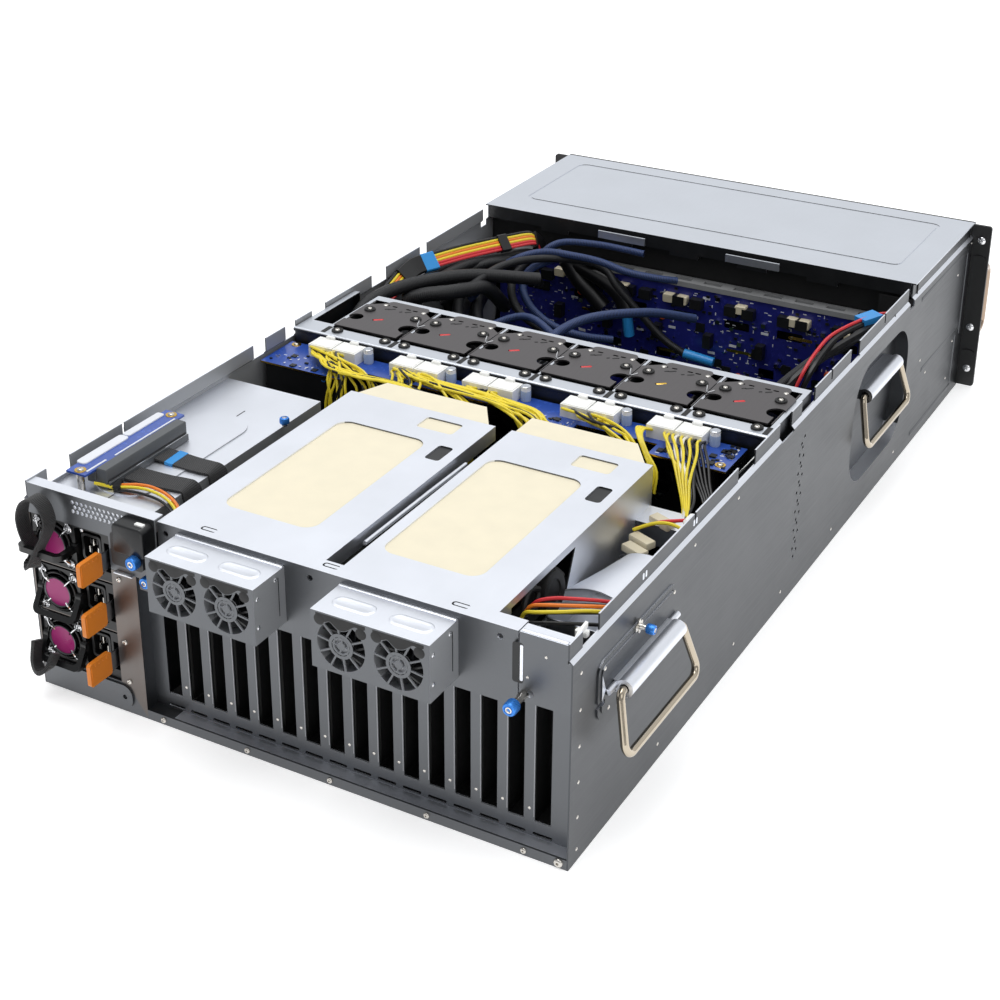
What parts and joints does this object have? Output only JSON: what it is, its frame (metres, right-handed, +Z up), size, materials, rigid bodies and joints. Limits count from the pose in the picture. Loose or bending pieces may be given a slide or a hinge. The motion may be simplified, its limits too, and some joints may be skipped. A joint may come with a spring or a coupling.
{
  "type": "rack server chassis",
  "caption": "Open-topped 4U rack chassis for accelerator cards with redundant power supplies, lift-out fan modules, drive bays and carrying bails.",
  "frame": {"origin": "centre of the chassis underside", "axes": "+Z up, +Y towards the rear with the card slots and power supplies, +X towards the power supply side"},
  "size_m": [0.4946, 0.952, 0.176],
  "materials": {
    "chassis_steel": "galvanised, satin",
    "cover_steel": "bright galvanised, satin",
    "insulation": "matte sheet",
    "circuit_board": "solder mask",
    "black_paint": "fine textured",
    "cable_sleeve": "braided",
    "latch_plastic": "moulded",
    "fan_plastic": "moulded",
    "drive_black": "satin",
    "bail_steel": "nickel plated"
  },
  "bodies": {
    "chassis": {"floor_pan": "chassis_steel", "left_side_wall": "chassis_steel", "right_side_wall": "chassis_steel", "rear_slot_panel": "chassis_steel", "psu_bay": "chassis_steel", "psu_tray": "cover_steel", "gpu_covers": "cover_steel", "insulation_sheets": "insulation", "rear_fan_boxes": "cover_steel", "fan_wall": "chassis_steel", "power_boards": "circuit_board", "main_boards": "circuit_board", "backplane": "circuit_board", "drive_cage": "chassis_steel", "front_cover": "cover_steel", "front_frame": "black_paint", "cable_harness": "cable_sleeve"},
    "psu_1": {"psu_1_case": "black_paint"},
    "psu_1_latch": {"psu_1_latch": "latch_plastic"},
    "psu_1_fan": {"psu_1_fan": "fan_plastic"},
    "psu_2": {"psu_2_case": "black_paint"},
    "psu_2_latch": {"psu_2_latch": "latch_plastic"},
    "psu_2_fan": {"psu_2_fan": "fan_plastic"},
    "psu_3": {"psu_3_case": "black_paint"},
    "psu_3_latch": {"psu_3_latch": "latch_plastic"},
    "psu_3_fan": {"psu_3_fan": "fan_plastic"},
    "fan_module_1": {"fan_module_1": "fan_plastic"},
    "upper_rotor_1": {"upper_rotor_1": "fan_plastic"},
    "lower_rotor_1": {"lower_rotor_1": "fan_plastic"},
    "fan_module_2": {"fan_module_2": "fan_plastic"},
    "upper_rotor_2": {"upper_rotor_2": "fan_plastic"},
    "lower_rotor_2": {"lower_rotor_2": "fan_plastic"},
    "fan_module_3": {"fan_module_3": "fan_plastic"},
    "upper_rotor_3": {"upper_rotor_3": "fan_plastic"},
    "lower_rotor_3": {"lower_rotor_3": "fan_plastic"},
    "fan_module_4": {"fan_module_4": "fan_plastic"},
    "upper_rotor_4": {"upper_rotor_4": "fan_plastic"},
    "lower_rotor_4": {"lower_rotor_4": "fan_plastic"},
    "fan_module_5": {"fan_module_5": "fan_plastic"},
    "upper_rotor_5": {"upper_rotor_5": "fan_plastic"},
    "lower_rotor_5": {"lower_rotor_5": "fan_plastic"},
    "fan_module_6": {"fan_module_6": "fan_plastic"},
    "upper_rotor_6": {"upper_rotor_6": "fan_plastic"},
    "lower_rotor_6": {"lower_rotor_6": "fan_plastic"},
    "rear_rotor_1": {"rear_rotor_1": "fan_plastic"},
    "rear_rotor_2": {"rear_rotor_2": "fan_plastic"},
    "rear_rotor_3": {"rear_rotor_3": "fan_plastic"},
    "rear_rotor_4": {"rear_rotor_4": "fan_plastic"},
    "drive_carrier_1": {"drive_carrier_1": "drive_black"},
    "drive_carrier_2": {"drive_carrier_2": "drive_black"},
    "drive_carrier_3": {"drive_carrier_3": "drive_black"},
    "drive_carrier_4": {"drive_carrier_4": "drive_black"},
    "drive_carrier_5": {"drive_carrier_5": "drive_black"},
    "drive_carrier_6": {"drive_carrier_6": "drive_black"},
    "drive_carrier_7": {"drive_carrier_7": "drive_black"},
    "drive_carrier_8": {"drive_carrier_8": "drive_black"},
    "bail_rear_right": {"bail_rear_right": "bail_steel"},
    "bail_front_right": {"bail_front_right": "bail_steel"},
    "bail_rear_left": {"bail_rear_left": "bail_steel"},
    "bail_front_left": {"bail_front_left": "bail_steel"}
  },
  "joints": [
    {"name": "psu_1_slide", "type": "slide", "parent": "chassis", "child": "psu_1", "axis": [0, 1, 0], "range_m": [0, 0.15]},
    {"name": "psu_1_latch_flex", "type": "hinge", "parent": "psu_1", "child": "psu_1_latch", "pos_m": [0.1495, 0.402, 0.1285], "axis": [0, 0, -1], "range_deg": [0, 4], "stiffness_Nm_per_rad": 0.6},
    {"name": "psu_1_fan_spin", "type": "hinge", "parent": "psu_1", "child": "psu_1_fan", "pos_m": [0.2005, 0.426, 0.1285], "axis": [0, 1, 0], "continuous": true},
    {"name": "psu_2_slide", "type": "slide", "parent": "chassis", "child": "psu_2", "axis": [0, 1, 0], "range_m": [0, 0.15]},
    {"name": "psu_2_latch_flex", "type": "hinge", "parent": "psu_2", "child": "psu_2_latch", "pos_m": [0.1495, 0.402, 0.0869], "axis": [0, 0, -1], "range_deg": [0, 4], "stiffness_Nm_per_rad": 0.6},
    {"name": "psu_2_fan_spin", "type": "hinge", "parent": "psu_2", "child": "psu_2_fan", "pos_m": [0.2005, 0.426, 0.0869], "axis": [0, 1, 0], "continuous": true},
    {"name": "psu_3_slide", "type": "slide", "parent": "chassis", "child": "psu_3", "axis": [0, 1, 0], "range_m": [0, 0.15]},
    {"name": "psu_3_latch_flex", "type": "hinge", "parent": "psu_3", "child": "psu_3_latch", "pos_m": [0.1495, 0.402, 0.0453], "axis": [0, 0, -1], "range_deg": [0, 4], "stiffness_Nm_per_rad": 0.6},
    {"name": "psu_3_fan_spin", "type": "hinge", "parent": "psu_3", "child": "psu_3_fan", "pos_m": [0.2005, 0.426, 0.0453], "axis": [0, 1, 0], "continuous": true},
    {"name": "fan_module_1_lift", "type": "slide", "parent": "chassis", "child": "fan_module_1", "axis": [0, 0, 1], "range_m": [0, 0.17]},
    {"name": "upper_rotor_1_spin", "type": "hinge", "parent": "fan_module_1", "child": "upper_rotor_1", "pos_m": [0.1571, 0.0395, 0.116], "axis": [0, 1, 0], "continuous": true},
    {"name": "lower_rotor_1_spin", "type": "hinge", "parent": "fan_module_1", "child": "lower_rotor_1", "pos_m": [0.1571, 0.0395, 0.048], "axis": [0, 1, 0], "continuous": true},
    {"name": "fan_module_2_lift", "type": "slide", "parent": "chassis", "child": "fan_module_2", "axis": [0, 0, 1], "range_m": [0, 0.17]},
    {"name": "upper_rotor_2_spin", "type": "hinge", "parent": "fan_module_2", "child": "upper_rotor_2", "pos_m": [0.0895, 0.0395, 0.116], "axis": [0, 1, 0], "continuous": true},
    {"name": "lower_rotor_2_spin", "type": "hinge", "parent": "fan_module_2", "child": "lower_rotor_2", "pos_m": [0.0895, 0.0395, 0.048], "axis": [0, 1, 0], "continuous": true},
    {"name": "fan_module_3_lift", "type": "slide", "parent": "chassis", "child": "fan_module_3", "axis": [0, 0, 1], "range_m": [0, 0.17]},
    {"name": "upper_rotor_3_spin", "type": "hinge", "parent": "fan_module_3", "child": "upper_rotor_3", "pos_m": [0.0219, 0.0395, 0.116], "axis": [0, 1, 0], "continuous": true},
    {"name": "lower_rotor_3_spin", "type": "hinge", "parent": "fan_module_3", "child": "lower_rotor_3", "pos_m": [0.0219, 0.0395, 0.048], "axis": [0, 1, 0], "continuous": true},
    {"name": "fan_module_4_lift", "type": "slide", "parent": "chassis", "child": "fan_module_4", "axis": [0, 0, 1], "range_m": [0, 0.17]},
    {"name": "upper_rotor_4_spin", "type": "hinge", "parent": "fan_module_4", "child": "upper_rotor_4", "pos_m": [-0.0457, 0.0395, 0.116], "axis": [0, 1, 0], "continuous": true},
    {"name": "lower_rotor_4_spin", "type": "hinge", "parent": "fan_module_4", "child": "lower_rotor_4", "pos_m": [-0.0457, 0.0395, 0.048], "axis": [0, 1, 0], "continuous": true},
    {"name": "fan_module_5_lift", "type": "slide", "parent": "chassis", "child": "fan_module_5", "axis": [0, 0, 1], "range_m": [0, 0.17]},
    {"name": "upper_rotor_5_spin", "type": "hinge", "parent": "fan_module_5", "child": "upper_rotor_5", "pos_m": [-0.1133, 0.0395, 0.116], "axis": [0, 1, 0], "continuous": true},
    {"name": "lower_rotor_5_spin", "type": "hinge", "parent": "fan_module_5", "child": "lower_rotor_5", "pos_m": [-0.1133, 0.0395, 0.048], "axis": [0, 1, 0], "continuous": true},
    {"name": "fan_module_6_lift", "type": "slide", "parent": "chassis", "child": "fan_module_6", "axis": [0, 0, 1], "range_m": [0, 0.17]},
    {"name": "upper_rotor_6_spin", "type": "hinge", "parent": "fan_module_6", "child": "upper_rotor_6", "pos_m": [-0.1809, 0.0395, 0.116], "axis": [0, 1, 0], "continuous": true},
    {"name": "lower_rotor_6_spin", "type": "hinge", "parent": "fan_module_6", "child": "lower_rotor_6", "pos_m": [-0.1809, 0.0395, 0.048], "axis": [0, 1, 0], "continuous": true},
    {"name": "rear_rotor_1_spin", "type": "hinge", "parent": "chassis", "child": "rear_rotor_1", "pos_m": [0.0617, 0.4608, 0.14525], "axis": [0, 1, 0], "continuous": true},
    {"name": "rear_rotor_2_spin", "type": "hinge", "parent": "chassis", "child": "rear_rotor_2", "pos_m": [0.0181, 0.4608, 0.14525], "axis": [0, 1, 0], "continuous": true},
    {"name": "rear_rotor_3_spin", "type": "hinge", "parent": "chassis", "child": "rear_rotor_3", "pos_m": [-0.0736, 0.4608, 0.14525], "axis": [0, 1, 0], "continuous": true},
    {"name": "rear_rotor_4_spin", "type": "hinge", "parent": "chassis", "child": "rear_rotor_4", "pos_m": [-0.1172, 0.4608, 0.14525], "axis": [0, 1, 0], "continuous": true},
    {"name": "drive_carrier_1_slide", "type": "slide", "parent": "chassis", "child": "drive_carrier_1", "axis": [0, -1, 0], "range_m": [0, 0.15]},
    {"name": "drive_carrier_2_slide", "type": "slide", "parent": "chassis", "child": "drive_carrier_2", "axis": [0, -1, 0], "range_m": [0, 0.15]},
    {"name": "drive_carrier_3_slide", "type": "slide", "parent": "chassis", "child": "drive_carrier_3", "axis": [0, -1, 0], "range_m": [0, 0.15]},
    {"name": "drive_carrier_4_slide", "type": "slide", "parent": "chassis", "child": "drive_carrier_4", "axis": [0, -1, 0], "range_m": [0, 0.15]},
    {"name": "drive_carrier_5_slide", "type": "slide", "parent": "chassis", "child": "drive_carrier_5", "axis": [0, -1, 0], "range_m": [0, 0.15]},
    {"name": "drive_carrier_6_slide", "type": "slide", "parent": "chassis", "child": "drive_carrier_6", "axis": [0, -1, 0], "range_m": [0, 0.15]},
    {"name": "drive_carrier_7_slide", "type": "slide", "parent": "chassis", "child": "drive_carrier_7", "axis": [0, -1, 0], "range_m": [0, 0.15]},
    {"name": "drive_carrier_8_slide", "type": "slide", "parent": "chassis", "child": "drive_carrier_8", "axis": [0, -1, 0], "range_m": [0, 0.15]},
    {"name": "bail_rear_right_swing", "type": "hinge", "parent": "chassis", "child": "bail_rear_right", "pos_m": [-0.234, 0.341, 0.1135], "axis": [0, 1, 0], "range_deg": [0, 80]},
    {"name": "bail_front_right_swing", "type": "hinge", "parent": "chassis", "child": "bail_front_right", "pos_m": [-0.223, -0.17, 0.1135], "axis": [0, 1, 0], "range_deg": [0, 80]},
    {"name": "bail_rear_left_swing", "type": "hinge", "parent": "chassis", "child": "bail_rear_left", "pos_m": [0.234, 0.341, 0.1135], "axis": [0, -1, 0], "range_deg": [0, 80]},
    {"name": "bail_front_left_swing", "type": "hinge", "parent": "chassis", "child": "bail_front_left", "pos_m": [0.223, -0.17, 0.1135], "axis": [0, -1, 0], "range_deg": [0, 80]}
  ]
}
